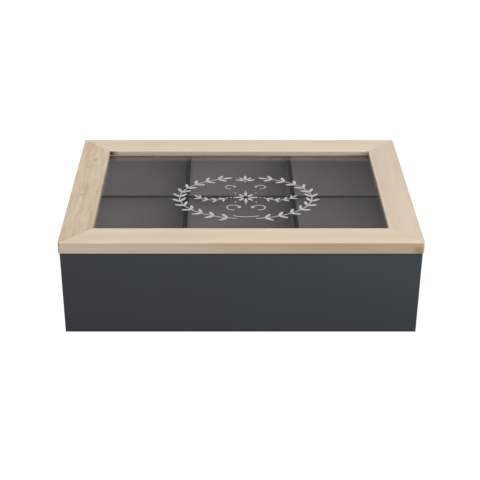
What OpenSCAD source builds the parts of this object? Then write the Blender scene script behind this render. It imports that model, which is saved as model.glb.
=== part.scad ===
// Tea bag organizer: a painted fibreboard box of six compartments under a glazed, mitred
// timber lid, which opens on two small butt hinges.
// Millimetres, +Z up and +Y to the rear. The origin is the centre of the base's underside.

/* [Lid frame] */
// Width of the lid over its side rails
lid_w = 240; // [180:1:320]
// Depth of the lid over its front and rear rails
lid_d = 170; // [130:1:230]
// Thickness of the lid rails
lid_t = 8; // [7:0.5:12]
// Width of each lid rail
rail_w = 21; // [17:0.5:30]
// Easing radius along the outer top edge of the rails
rail_ease = 0.8; // [0.4:0.1:1.4]
// Easing radius along the other long edges of the rails
fine_ease = 0.4; // [0.2:0.1:0.6]
// Radius of the lid's upright corners
lid_corner_r = 1.4; // [0.8:0.1:4]

/* [Glass] */
// Thickness of the glass
glass_t = 2; // [1.5:0.5:3]
// Thickness of the timber lip above the glass
lip_t = 3.8; // [2.5:0.1:4.5]
// Width of the rebate under the lip
rebate_w = 5; // [4:0.5:7]
// Gap between the glass and the rebate's wall
glass_gap = 0.5; // [0.2:0.1:1]

/* [Box] */
// Height of the walls
body_h = 60.7; // [45:0.1:110]
// Thickness of the walls
wall_t = 6; // [5:0.5:10]
// Reach of the lid past the body at the front and the sides
overhang = 0.7; // [0:0.1:4]
// Reach of the lid past the body at the rear, which stops the open lid
rear_overhang = 1.8; // [1.4:0.1:3]
// Thickness of wall left outside the corner rabbets
corner_lap = 3; // [2:0.5:4]
// Radius of the body's upright corners
body_corner_r = 0.8; // [0.4:0.1:1.5]
// Easing radius along the edges of the walls and the dividers
board_ease = 0.4; // [0.2:0.1:0.6]
// Thickness of the base panel
base_t = 3; // [2:0.5:6]
// Width of the rabbet that holds the base panel
base_lap = 3; // [2:0.5:4]
// Gap round the base panel
base_fit = 0.1; // [0.05:0.05:0.3]

/* [Dividers] */
// Thickness of the dividers
divider_t = 3; // [2:0.5:5]
// Depth of the grooves in the walls that house the dividers' ends
housing = 2; // [1:0.5:2.5]
// Gap on each side of a divider in its grooves and laps
divider_fit = 0.1; // [0.05:0.05:0.3]
// Height of the wall tops above the dividers
divider_drop = 0.4; // [0:0.1:15]

/* [Hinges] */
// Gap between the walls and the closed lid
lid_gap = 0.3; // [0.2:0.1:0.6]
// Length of a hinge leaf
hinge_l = 20; // [16:1:40]
// Distance from the lid's end to the middle of a hinge
hinge_inset = 45; // [35:1:55]
// Reach of a leaf over the wall, from the rear face
leaf_w = 4.5; // [4:0.1:4.8]
// Thickness of a leaf
leaf_t = 0.8; // [0.6:0.1:1]
// Radius of a leaf's inner corners
leaf_corner_r = 1; // [0.5:0.1:1.5]
// Distance of the pin's axis behind the body
axis_set = 0.3; // [0.2:0.1:0.4]
// Diameter of the hinge pin
pin_d = 1.6; // [1.4:0.1:2]
// Radial running gap round the pin
pin_fit = 0.05; // [0.02:0.01:0.08]
// Thickness of the pin's heads
pin_head_t = 0.5; // [0.3:0.1:1]
// End gap between neighbouring knuckles
knuckle_gap = 0.3; // [0.2:0.05:0.5]
// Gap between a mortise and the leaf in it
mortise_fit = 0.1; // [0.05:0.05:0.3]

/* [Fasteners] */
// Shank diameter of the hinge screws
screw_d = 1.6; // [1.2:0.1:2]
// Head diameter of the hinge screws
screw_head_d = 2.8; // [2.4:0.1:3]
// Length of the hinge screws
screw_l = 5.5; // [4:0.5:6]
// Distance from the end of a leaf to its screws
screw_inset = 4; // [3:0.5:5]
// Gap round the screws
screw_fit = 0.05; // [0.02:0.01:0.1]
// Thickness of the glazing points that hold the glass
point_t = 0.4; // [0.3:0.1:0.6]
// Width of a glazing point
point_w = 7; // [5:0.5:9]
// Length of a glazing point that shows over the glass
point_reach = 3.2; // [2:0.1:4]
// Length of a glazing point driven into the rail
point_bite = 3; // [2:0.1:5]
// Leg length of the steel corner fasteners in the mitres
nail_leg = 5; // [4:0.5:6]
// Thickness of the corner fasteners
nail_t = 0.5; // [0.4:0.1:0.8]
// Height of the corner fasteners
nail_h = 5; // [3:0.5:6]

/* [Hidden] */
$fn = 48;

PAINT = "#3d4043";
GRID_PAINT = "#55575a";
TIMBER = "#dcc8ae";
GLASS = [0.82, 0.9, 0.9, 0.35];
STEEL = "#b4b7ba";

body_w = lid_w - 2 * overhang;
body_d = lid_d - overhang - rear_overhang;
inner_w = body_w - 2 * wall_t;
inner_d = body_d - 2 * wall_t;
divider_h = body_h - divider_drop - base_t;
// three equal columns between the side walls
cross_x = (inner_w + divider_t) / 6;

lid_z = body_h + lid_gap;
lid_front = -body_d / 2 - overhang;
lid_rear = lid_front + lid_d;
glass_z = lid_z + lid_t - lip_t - glass_t;
glass_w = lid_w - 2 * (rail_w - rebate_w + glass_gap);
glass_d = lid_d - 2 * (rail_w - rebate_w + glass_gap);

axis_y = body_d / 2 + axis_set;
axis_z = body_h + lid_gap / 2;
hinge_x = lid_w / 2 - hinge_inset;
pin_r = pin_d / 2;
bore_r = pin_r + pin_fit;
knuckle_r = bore_r + leaf_t;
pin_head_r = (pin_r + knuckle_r) / 2;
barrel_clear_r = knuckle_r + knuckle_gap;
knuckle_l = (hinge_l - 2 * knuckle_gap) / 3;
outer_knuckles = [[-hinge_l / 2, -knuckle_l / 2 - knuckle_gap],
                  [knuckle_l / 2 + knuckle_gap, hinge_l / 2]];
middle_knuckle = [[-knuckle_l / 2, knuckle_l / 2]];
// the screws stand midway between the knuckles and the leaf's inner edge
screw_y = -(axis_set + leaf_w + knuckle_r) / 2;
screw_x = hinge_l / 2 - screw_inset;
screw_recess_w = 0.4;
screw_tip_h = screw_d;
screw_tip_d = screw_d / 4;

// corner fasteners stand in the middle of the timber outside the rebate
nail_at = (rail_w - rebate_w) / 2;
points_across = 3;
points_deep = 2;
eps = 0.01;

// points of an arc of radius r about c, from angle a to angle b
function arc(c, r, a, b, steps = 6) =
    [for (i = [0:steps]) c + r * [cos(a + (b - a) * i / steps), sin(a + (b - a) * i / steps)]];

// section of a rail: x runs in from the outer face, y up from the underside
function rail_section() = concat(
    arc([fine_ease, fine_ease], fine_ease, 180, 270),
    [[rail_w - rebate_w, 0], [rail_w - rebate_w, lid_t - lip_t]],
    arc([rail_w - fine_ease, lid_t - lip_t + fine_ease], fine_ease, 270, 360),
    arc([rail_w - fine_ease, lid_t - fine_ease], fine_ease, 0, 90),
    arc([rail_ease, lid_t - rail_ease], rail_ease, 90, 180)
);

// outline of a rail from above, mitred at both ends and rounded to the lid's corners
function rail_plan(length) = concat(
    arc([lid_corner_r, lid_corner_r], lid_corner_r, 225, 270),
    arc([length - lid_corner_r, lid_corner_r], lid_corner_r, 270, 315),
    [[length - rail_w, rail_w], [rail_w, rail_w]]
);

// a rail that runs along +X from the origin, with its outer face towards -Y
module rail(length) {
    intersection() {
        rotate([90, 0, 90]) linear_extrude(length) polygon(rail_section());
        linear_extrude(lid_t) polygon(rail_plan(length));
    }
}

// a board along X with eased edges, standing on z = 0 about the origin
module board(length, thickness, height) {
    near = board_ease - thickness / 2;
    far = thickness / 2 - board_ease;
    rotate([90, 0, 90]) translate([0, 0, -length / 2]) linear_extrude(length) polygon(concat(
        arc([near, board_ease], board_ease, 180, 270, 3),
        arc([far, board_ease], board_ease, 270, 360, 3),
        arc([far, height - board_ease], board_ease, 0, 90, 3),
        arc([near, height - board_ease], board_ease, 90, 180, 3)
    ));
}

// places a rail made along the side at turn: 0 front, 1 right, 2 rear, 3 left
module on_side(turn) {
    reach = turn % 2 == 0 ? [lid_w, lid_d] : [lid_d, lid_w];
    translate([0, (lid_front + lid_rear) / 2, lid_z])
        rotate([0, 0, 90 * turn]) translate([-reach[0] / 2, -reach[1] / 2, 0]) children();
}

// places its children at each hinge: side -1 is the left one, 1 the right one
module at_hinge(side) {
    translate([side * hinge_x, axis_y, axis_z]) children();
}

// a round bar along the hinge axis over a span [from, to]
module bar(span, r) {
    translate([span[0], 0, 0]) rotate([0, 90, 0]) cylinder(h = span[1] - span[0], r = r);
}

// outline of a leaf from above, its knuckle edge on the pin's near side
module leaf_plan(grow = 0) {
    half = hinge_l / 2 + grow;
    inner = -axis_set - leaf_w - grow;
    polygon(concat(
        arc([-half + leaf_corner_r, inner + leaf_corner_r], leaf_corner_r, 180, 270),
        arc([half - leaf_corner_r, inner + leaf_corner_r], leaf_corner_r, 270, 360),
        [[half, -pin_r], [-half, -pin_r]]
    ));
}

// the body's leaf about the hinge axis: own knuckles stay, the others' room is cut out
module leaf(own, others) {
    difference() {
        union() {
            translate([0, 0, -lid_gap / 2 - leaf_t]) linear_extrude(leaf_t) leaf_plan();
            for (span = own) bar(span, knuckle_r);
        }
        for (span = others) bar(span + [-knuckle_gap, knuckle_gap], barrel_clear_r);
        bar([-hinge_l, hinge_l], bore_r);
        for (side = [-1, 1]) translate([side * screw_x, screw_y, -lid_gap / 2]) screw_shape(screw_fit);
    }
}

// a countersunk screw with its head's face at z = 0 and its point down
module screw_shape(grow = 0) {
    rotate_extrude() polygon([
        [0, 0], [screw_head_d / 2 + grow, 0], [screw_d / 2 + grow, -leaf_t],
        [screw_d / 2 + grow, screw_tip_h - screw_l], [screw_tip_d / 2 + grow, -screw_l - grow],
        [0, -screw_l - grow]
    ]);
}

// a screw with a cross recess in its head
module screw() {
    difference() {
        screw_shape();
        for (turn = [0, 90]) rotate([0, 0, turn])
            translate([-screw_d / 2, -screw_recess_w / 2, -leaf_t / 2])
                cube([screw_d, screw_recess_w, leaf_t]);
    }
}

// places a shape drawn for the body's half of a hinge: up is -1 there and 1 in the lid
module hinge_half(up) {
    mirror([0, 0, up > 0 ? 1 : 0]) children();
}

// places a screw's shape at all four screws of one half of both hinges
module at_screws(up) {
    for (hinge = [-1, 1], side = [-1, 1])
        at_hinge(hinge) hinge_half(up)
            translate([side * screw_x, screw_y, -lid_gap / 2]) children();
}

// what a leaf, its barrel and its screws need cut out of the timber
module hinge_room(up) {
    for (side = [-1, 1]) at_hinge(side) {
        hinge_half(up) translate([0, 0, -lid_gap / 2 - leaf_t])
            linear_extrude(leaf_t + lid_gap) leaf_plan(mortise_fit);
        bar([-1, 1] * (hinge_l / 2 + pin_head_t + knuckle_gap), barrel_clear_r);
    }
    at_screws(up) screw_shape(screw_fit);
}

// a diamond of thin steel, its edge on the rebate's wall at y = 0 and its bite towards -Y
module glazing_point() {
    linear_extrude(point_t)
        polygon([[-point_w / 2, 0], [0, -point_bite], [point_w / 2, 0], [0, point_reach]]);
}

// every glazing point, flat against the underside of the glass
module glazing_point_set() {
    for (turn = [0:3]) {
        count = turn % 2 == 0 ? points_across : points_deep;
        length = turn % 2 == 0 ? lid_w : lid_d;
        pitch = (length - 2 * rail_w) / count;
        on_side(turn) for (i = [0:count - 1])
            translate([rail_w + pitch * (i + 0.5), rail_w - rebate_w, glass_z - lid_z - point_t])
                glazing_point();
    }
}

// an L of steel strip across each mitre, driven in flush from below
module corner_fastener_set() {
    for (turn = [0:3]) on_side(turn) translate([nail_at, nail_at, 0]) linear_extrude(nail_h) {
        translate([-nail_t / 2, -nail_t / 2]) square([nail_leg, nail_t]);
        translate([-nail_t / 2, -nail_t / 2]) square([nail_t, nail_leg]);
    }
}

// a lid rail with the fasteners' seats cut in it
module lid_rail(turn) {
    color(TIMBER) difference() {
        on_side(turn) rail(turn % 2 == 0 ? lid_w : lid_d);
        glazing_point_set();
        corner_fastener_set();
        if (turn == 2) hinge_room(1);
    }
}

// room for the base panel in the walls
module base_room() {
    room = [inner_w + 2 * base_lap, inner_d + 2 * base_lap, base_t];
    translate([-room[0] / 2, -room[1] / 2, -eps]) cube(room + [0, 0, eps]);
}

// room for the dividers' ends in the walls
module divider_room() {
    slot = divider_t + 2 * divider_fit;
    for (side = [-1, 1])
        translate([side * cross_x - slot / 2, -inner_d / 2 - housing, base_t])
            cube([slot, inner_d + 2 * housing, body_h]);
    translate([-inner_w / 2 - housing, -slot / 2, base_t])
        cube([inner_w + 2 * housing, slot, body_h]);
}

// outline of the front wall from above, rabbeted at both ends for the side walls
function long_wall_plan() =
    let (x_out = body_w / 2, x_in = inner_w / 2)
    let (y_out = -body_d / 2, y_lap = y_out + corner_lap, y_in = y_out + wall_t)
    concat(
        arc([body_corner_r - x_out, y_out + body_corner_r], body_corner_r, 180, 270),
        arc([x_out - body_corner_r, y_out + body_corner_r], body_corner_r, 270, 360),
        [[x_out, y_lap], [x_in, y_lap], [x_in, y_in], [-x_in, y_in], [-x_in, y_lap], [-x_out, y_lap]]
    );

// the front wall, or the rear one when side is 1
module long_wall(side) {
    color(PAINT) difference() {
        mirror([0, side > 0 ? 1 : 0, 0]) intersection() {
            translate([0, (wall_t - body_d) / 2, 0]) board(body_w, wall_t, body_h);
            linear_extrude(body_h) polygon(long_wall_plan());
        }
        base_room();
        divider_room();
        if (side > 0) hinge_room(-1);
    }
}

// the left wall, or the right one when side is 1
module side_wall(side) {
    color(PAINT) difference() {
        translate([side * (body_w - wall_t) / 2, 0, 0]) rotate([0, 0, 90])
            board(body_d - 2 * corner_lap, wall_t, body_h);
        base_room();
        divider_room();
    }
}

module front_wall() long_wall(-1);
module rear_wall() long_wall(1);
module left_wall() side_wall(-1);
module right_wall() side_wall(1);

module base_panel() {
    size = [inner_w, inner_d] + [1, 1] * 2 * (base_lap - base_fit);
    color(PAINT) translate([-size[0] / 2, -size[1] / 2, 0]) cube([size[0], size[1], base_t]);
}

// runs across the box and is slotted from above to its half height
module long_divider() {
    slot = divider_t + 2 * divider_fit;
    color(GRID_PAINT) difference() {
        translate([0, 0, base_t])
            board(inner_w + 2 * (housing - divider_fit), divider_t, divider_h);
        for (side = [-1, 1])
            translate([side * cross_x - slot / 2, -slot / 2, base_t + divider_h / 2])
                cube([slot, slot, divider_h]);
    }
}

// runs from front to rear and is slotted from below over the long divider
module cross_divider(side) {
    slot = divider_t + 2 * divider_fit;
    color(GRID_PAINT) translate([side * cross_x, 0, base_t]) difference() {
        rotate([0, 0, 90]) board(inner_d + 2 * (housing - divider_fit), divider_t, divider_h);
        translate([-slot / 2, -slot / 2, -divider_h / 2]) cube([slot, slot, divider_h]);
    }
}

module cross_divider_left() cross_divider(-1);
module cross_divider_right() cross_divider(1);

module lid_front_rail() lid_rail(0);
module lid_right_rail() lid_rail(1);
module lid_rear_rail() lid_rail(2);
module lid_left_rail() lid_rail(3);

module glass_pane() {
    color(GLASS) translate([-glass_w / 2, (lid_front + lid_rear - glass_d) / 2, glass_z])
        cube([glass_w, glass_d, glass_t]);
}

module glazing_points() color(STEEL) glazing_point_set();
module corner_fasteners() color(STEEL) corner_fastener_set();

module body_leaf(side) color(STEEL) at_hinge(side) leaf(outer_knuckles, middle_knuckle);
module lid_leaf(side) color(STEEL) at_hinge(side) hinge_half(1) leaf(middle_knuckle, outer_knuckles);

module hinge_body_leaf_left() body_leaf(-1);
module hinge_body_leaf_right() body_leaf(1);
module hinge_lid_leaf_left() lid_leaf(-1);
module hinge_lid_leaf_right() lid_leaf(1);

// the pin and the peened head at each of its ends
module hinge_pin(side) {
    color(STEEL) at_hinge(side) {
        bar([-1, 1] * hinge_l / 2, pin_r);
        for (turn = [0, 180]) rotate([0, 0, turn]) translate([hinge_l / 2, 0, 0])
            rotate([0, 90, 0]) cylinder(h = pin_head_t, r1 = pin_head_r, r2 = pin_r);
    }
}

module hinge_pin_left() hinge_pin(-1);
module hinge_pin_right() hinge_pin(1);

module body_leaf_screws() color(STEEL) at_screws(-1) screw();
module lid_leaf_screws() color(STEEL) at_screws(1) screw();

front_wall();
rear_wall();
left_wall();
right_wall();
base_panel();
long_divider();
cross_divider_left();
cross_divider_right();
hinge_body_leaf_left();
hinge_body_leaf_right();
hinge_pin_left();
hinge_pin_right();
body_leaf_screws();
lid_front_rail();
lid_rear_rail();
lid_left_rail();
lid_right_rail();
glass_pane();
glazing_points();
corner_fasteners();
hinge_lid_leaf_left();
hinge_lid_leaf_right();
lid_leaf_screws();
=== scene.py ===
"""Looks of a tea bag organizer: a painted fibreboard box under a glazed, mitred timber lid.

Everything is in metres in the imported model's frame: +X right, +Y to the hinged rear, +Z up.
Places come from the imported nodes, and the pieces are modelled over them.
"""

from __future__ import annotations

import logging
import math
from collections.abc import Callable, Iterator, Sequence
from contextlib import contextmanager
from dataclasses import dataclass, field
from enum import Enum
from functools import partial
from itertools import product

import bmesh
import bpy
from mathutils import Matrix, Vector

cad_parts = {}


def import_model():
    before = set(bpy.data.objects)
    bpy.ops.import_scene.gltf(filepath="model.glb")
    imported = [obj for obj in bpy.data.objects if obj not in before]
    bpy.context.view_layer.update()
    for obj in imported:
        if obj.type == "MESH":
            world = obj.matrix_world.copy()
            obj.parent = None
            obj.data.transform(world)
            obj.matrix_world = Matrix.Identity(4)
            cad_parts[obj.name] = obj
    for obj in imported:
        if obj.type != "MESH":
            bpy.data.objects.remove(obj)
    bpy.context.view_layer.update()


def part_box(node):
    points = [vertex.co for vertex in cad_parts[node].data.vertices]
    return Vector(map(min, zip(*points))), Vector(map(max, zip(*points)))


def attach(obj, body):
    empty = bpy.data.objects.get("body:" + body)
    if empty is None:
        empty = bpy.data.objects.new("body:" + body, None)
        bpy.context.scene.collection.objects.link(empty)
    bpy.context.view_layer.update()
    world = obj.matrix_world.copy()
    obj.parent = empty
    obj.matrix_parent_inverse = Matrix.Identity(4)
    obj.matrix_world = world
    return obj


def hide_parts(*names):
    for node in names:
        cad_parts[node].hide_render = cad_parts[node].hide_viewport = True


MM = 0.001
NEAR = 1e-6
WELD = 1e-7
SHARP = math.radians(40)
# A face looks along an axis when its normal has at least this much of it, or leans that way.
FACING = 0.9
LEANING = 0.5
# Parts of a normal that differ by less than this count as equal.
LIKE = 1e-3
# The steps of a broken edge, of an eased one and of a rounded one.
BROKEN, EASED, ROUNDED = 2, 3, 4
# A wave texture of scale 1 repeats after this many units.
WAVE_PERIOD = 0.314
ROD_SIDES = 40
WHITE = (1, 1, 1, 1)
log = logging.getLogger("tea_box")

Colour = tuple[float, float, float, float]
Pair = tuple[float, float]
Place = Sequence[float]
Object = bpy.types.Object
Socket = bpy.types.NodeSocket
Edge = bmesh.types.BMEdge
Face = bmesh.types.BMFace
Test = Callable[..., bool]
Add = Callable[..., Socket]


class Body(Enum):
    """The two rigid bodies of the frame."""

    BOX = "body"
    LID = "lid"


class Slot(Enum):
    """Material slots of the record."""

    BODY_PAINT = "body_paint"
    DIVIDER_PAINT = "divider_paint"
    TIMBER = "lid_timber"
    GLASS = "lid_glass"
    HINGE = "hinge_steel"
    FASTENER = "fastener_steel"


class Side(Enum):
    """Sides of the lid, as quarter turns from the front."""

    FRONT = 0
    RIGHT = 1
    REAR = 2
    LEFT = 3


class Pick(Enum):
    """What an edit selects."""

    EDGE = "EDGE"
    FACE = "FACE"


# ---- colours and nodes


def linear(code: str) -> Colour:
    """Turns an sRGB hex colour, "#rrggbb", to linear light with an alpha of 1."""
    parts = (int(code[i : i + 2], 16) / 255 for i in (1, 3, 5))
    return (*(c / 12.92 if c <= 0.04045 else ((c + 0.055) / 1.055) ** 2.4 for c in parts), 1.0)


def add_node(
    tree: bpy.types.NodeTree, kind: str, inputs: Sequence | dict = (), out: int | str = 0, **settings: object
) -> Socket | None:
    """Adds a node with its settings, values and links.

    Args:
        tree: The tree that gets the node.
        kind: The node's type, without its "ShaderNode" prefix.
        inputs: Values, or the outputs that feed them, in the sockets' order or by name.
        out: The output that is wanted.
        settings: The node's own properties.

    Returns:
        That output, or None from a node that has none.
    """
    node = tree.nodes.new("ShaderNode" + kind)
    for name, value in settings.items():
        setattr(node, name, value)
    for name, value in inputs.items() if isinstance(inputs, dict) else enumerate(inputs):
        if isinstance(value, Socket):
            tree.links.new(value, node.inputs[name])
        else:
            node.inputs[name].default_value = value
    return node.outputs[out] if node.outputs else None


def stops(ramp: Socket, *places: tuple[float, str]) -> Socket:
    """Sets a colour ramp's stops.

    Args:
        ramp: The ramp's output.
        places: Places from 0 to 1 with their hex colours.

    Returns:
        The same output.
    """
    elements = ramp.node.color_ramp.elements
    while len(elements) < len(places):
        elements.new(0.5)
    for element, (place, code) in zip(elements, places):
        element.position = place
        element.color = linear(code)
    return ramp


def beside(add: Add, value: Socket, level: float, reach: Pair, most: float = 1.0) -> Socket:
    """Makes a mask that is full at a level and fades out between the two distances of its reach."""
    off = add("Math", (value, level), operation="SUBTRACT")
    return add("MapRange", (add("Math", (off,), operation="ABSOLUTE"), *reach, most, 0.0))


def within(add: Add, place: Socket, halves: Pair) -> Socket:
    """Makes a mask that is 1 inside an upright shaft about the origin, and 0 outside.

    Args:
        add: Adds a node to the material's tree.
        place: Object coordinates.
        halves: The shaft's half widths in x and y.

    Returns:
        The mask.
    """
    mask: Socket | float = 1.0
    for part, half in zip(add("SeparateXYZ", (place,)).node.outputs, halves):
        near = add("Math", (add("Math", (part,), operation="ABSOLUTE"), half), operation="LESS_THAN")
        mask = add("Math", (near, mask), operation="MULTIPLY")
    return mask


class Finish:
    """A finish that builds its material on an empty node tree."""

    name: str

    def material(self) -> bpy.types.Material:
        """Makes the material and links its surface to the output.

        Returns:
            The material.
        """
        material = bpy.data.materials.new(self.name)
        material.use_nodes = True
        material.node_tree.nodes.clear()
        add = partial(add_node, material.node_tree)
        add("OutputMaterial", (self.surface(add),))
        return material

    def surface(self, add: Add) -> Socket:
        """Builds the shader with the function that adds a node, and returns its output."""
        raise NotImplementedError


# ---- modelling


def only(obj: Object) -> None:
    """Makes obj the one selected and active object.

    Args:
        obj: The object.
    """
    bpy.ops.object.select_all(action="DESELECT")
    obj.select_set(True)
    bpy.context.view_layer.objects.active = obj


def settle(obj: Object, name: str) -> Object:
    """Names an object and puts its place in its mesh.

    Args:
        obj: The object.
        name: Its name, which its mesh takes too.

    Returns:
        The same object, as from all these helpers.
    """
    only(obj)
    obj.name = name
    obj.data.name = name
    bpy.ops.object.transform_apply(location=True, rotation=True, scale=True)
    return obj


def primitive(name: str, operator: Callable, **settings: object) -> Object:
    """Adds a primitive with the operator and its settings, with nothing else selected.

    Args:
        name: The name.
        operator: The operator that adds it.
        settings: The operator's settings.

    Returns:
        The primitive, ready to be shaped.
    """
    bpy.ops.object.select_all(action="DESELECT")
    operator(**settings)
    return settle(bpy.context.object, name)


def block(name: str, low: Place, high: Place) -> Object:
    """Adds a cube between two corners."""
    middle, size = (Vector(low) + Vector(high)) / 2, Vector(high) - Vector(low)
    return primitive(name, bpy.ops.mesh.primitive_cube_add, size=1, location=middle, scale=size)


def rod(name: str, radius: float, length: float) -> Object:
    """Adds a round bar along X, about the origin."""
    shape = {"vertices": ROD_SIDES, "radius": radius, "depth": length, "rotation": (0, math.pi / 2, 0)}
    return primitive(name, bpy.ops.mesh.primitive_cylinder_add, **shape)


def moved(obj: Object, matrix: Matrix) -> Object:
    """Moves or turns a mesh and applies it."""
    obj.matrix_world = matrix
    return settle(obj, obj.name)


def twin(obj: Object, name: str, matrix: Matrix) -> Object:
    """Copies an object, with a mesh of its own, to another place.

    Args:
        obj: The object.
        name: The copy's name.
        matrix: Where the copy goes.

    Returns:
        The copy.
    """
    copy = obj.copy()
    copy.data = obj.data.copy()
    bpy.context.scene.collection.objects.link(copy)
    copy.matrix_world = matrix
    return settle(copy, name)


@contextmanager
def editing(obj: Object, test: Test | None = None, kind: Pick = Pick.FACE) -> Iterator[int]:
    """Edit mode on one object, with the edges or faces that pass a test selected.

    Args:
        obj: The object.
        test: Says if a bmesh edge or face is wanted. Without it, all are.
        kind: Whether edges or faces are tested.

    Yields:
        How many are selected.
    """
    only(obj)
    bpy.ops.object.mode_set(mode="EDIT")
    bpy.ops.mesh.select_mode(type=kind.value)
    bpy.ops.mesh.select_all(action="DESELECT" if test else "SELECT")
    mesh = bmesh.from_edit_mesh(obj.data)
    mesh.normal_update()
    elements = mesh.edges if kind is Pick.EDGE else mesh.faces
    wanted = [element for element in elements if test is None or test(element)]
    for element in wanted:
        element.select_set(True)
    bmesh.update_edit_mesh(obj.data)
    yield len(wanted)
    bpy.ops.object.mode_set(mode="OBJECT")


def lies(edge: Edge, **at: float) -> bool:
    """Says if both ends of an edge have the given x, y or z."""
    return all(abs(getattr(v.co, axis) - value) < NEAR for axis, value in at.items() for v in edge.verts)


def upright(edge: Edge) -> bool:
    """Says if an edge's ends differ in height."""
    return abs(edge.verts[0].co.z - edge.verts[1].co.z) > NEAR


def facing(**ways: int) -> Test:
    """Makes a test for faces that look along an axis, such as z=-1 for down."""
    return lambda face: all(way * getattr(face.normal, axis) > FACING for axis, way in ways.items())


def ease(obj: Object, radius: float, segments: int, test: Test) -> None:
    """Rounds the edges that pass a test.

    Args:
        obj: The object.
        radius: How far the rounding reaches on each side.
        segments: Its number of steps.
        test: Says if a bmesh edge is rounded.
    """
    with editing(obj, test, Pick.EDGE) as count:
        if count:
            bpy.ops.mesh.bevel(offset=radius, offset_type="OFFSET", segments=segments, affect="EDGES")


def bisect(obj: Object, point: Place, normal: Place, trim: bool = True) -> None:
    """Cuts a mesh with a plane, and with trim closes the cut and drops what the normal points at."""
    with editing(obj):
        bpy.ops.mesh.bisect(plane_co=point, plane_no=normal, use_fill=trim, clear_outer=trim, threshold=WELD)


def extrude(x: float, y: float, z: float) -> None:
    """Extrudes what is selected in edit mode."""
    bpy.ops.mesh.extrude_region_move(TRANSFORM_OT_translate={"value": (x, y, z)})


def push(obj: Object, shift: Place, test: Test) -> None:
    """Extrudes the faces that pass a test."""
    with editing(obj, test):
        extrude(*shift)


def weld(obj: Object) -> Object:
    """Merges doubled vertices and turns the normals out.

    Args:
        obj: The object.

    Returns:
        The same object.
    """
    with editing(obj):
        bpy.ops.mesh.remove_doubles(threshold=WELD)
        bpy.ops.mesh.normals_make_consistent(inside=False)
    return obj


def node_shape(name: str) -> Object:
    """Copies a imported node's mesh as a cutter.

    Args:
        name: The node's name.

    Returns:
        The cutter.
    """
    shape = bpy.data.objects.new(name + "_shape", bpy.data.objects[name].data.copy())
    bpy.context.scene.collection.objects.link(shape)
    return weld(shape)


def modify(obj: Object, kind: str, **settings: object) -> Object:
    """Adds a modifier with its settings and applies it.

    Args:
        obj: The object.
        kind: The modifier's type.
        settings: Its properties.

    Returns:
        The same object.
    """
    only(obj)
    bpy.ops.object.modifier_add(type=kind)
    modifier = obj.modifiers[-1]
    for name, value in settings.items():
        setattr(modifier, name, value)
    bpy.ops.object.modifier_apply(modifier=modifier.name)
    return obj


def cut(obj: Object, tools: Sequence[Object]) -> Object:
    """Cuts the tools' shapes out of obj and removes the tools.

    Args:
        obj: The object.
        tools: What is cut out of it.

    Returns:
        The same object.
    """
    for tool in tools:
        modify(obj, "BOOLEAN", operation="DIFFERENCE", solver="EXACT", object=tool)
        bpy.data.objects.remove(tool)
    with editing(obj):
        bpy.ops.mesh.dissolve_degenerate(threshold=NEAR)
    return obj


def smooth(obj: Object) -> Object:
    """Shades the rounded edges smooth and holds the flats flat.

    Args:
        obj: The object.

    Returns:
        The same object.
    """
    with editing(obj, lambda e: e.calc_face_angle(0.0) > SHARP, Pick.EDGE):
        bpy.ops.mesh.mark_sharp()
    bpy.ops.object.shade_smooth(keep_sharp_edges=True)
    return modify(obj, "WEIGHTED_NORMAL", keep_sharp=True)


def soften(obj: Object, radius: float) -> Object:
    """Breaks every sharp edge of a piece."""
    return modify(obj, "BEVEL", width=radius, segments=BROKEN, limit_method="ANGLE", angle_limit=SHARP)


def join(name: str, parts: Sequence[Object]) -> Object:
    """Joins meshes to one piece.

    Args:
        name: The piece's name.
        parts: The meshes.

    Returns:
        The piece.
    """
    only(parts[0])
    for part in parts:
        part.select_set(True)
    bpy.ops.object.join()
    return settle(bpy.context.object, name)


def coat(obj: Object, material: bpy.types.Material) -> None:
    """Gives an object one material."""
    obj.data.materials.clear()
    obj.data.materials.append(material)


def dress(
    obj: Object, material: bpy.types.Material, body: Body, slot: Slot, stands_for: Sequence[str] = ()
) -> None:
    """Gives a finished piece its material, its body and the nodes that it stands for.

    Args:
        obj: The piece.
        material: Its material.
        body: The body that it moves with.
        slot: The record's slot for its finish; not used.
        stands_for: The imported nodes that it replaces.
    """
    coat(obj, material)
    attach(obj, body.value)
    if stands_for:
        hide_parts(*stands_for)
    log.info("piece %s on %s, %d faces", obj.name, body.value, len(obj.data.polygons))


# ---- finishes


@dataclass(frozen=True)
class Knot:
    """A pin knot, a dark mark or a painted shadow along and across a rail's grain, and the height that it
    stays below.
    """

    along: float
    across: float
    radius: float
    below: float = 1.0
    tone: str = "#9a7650"
    strength: float = 0.6


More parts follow.
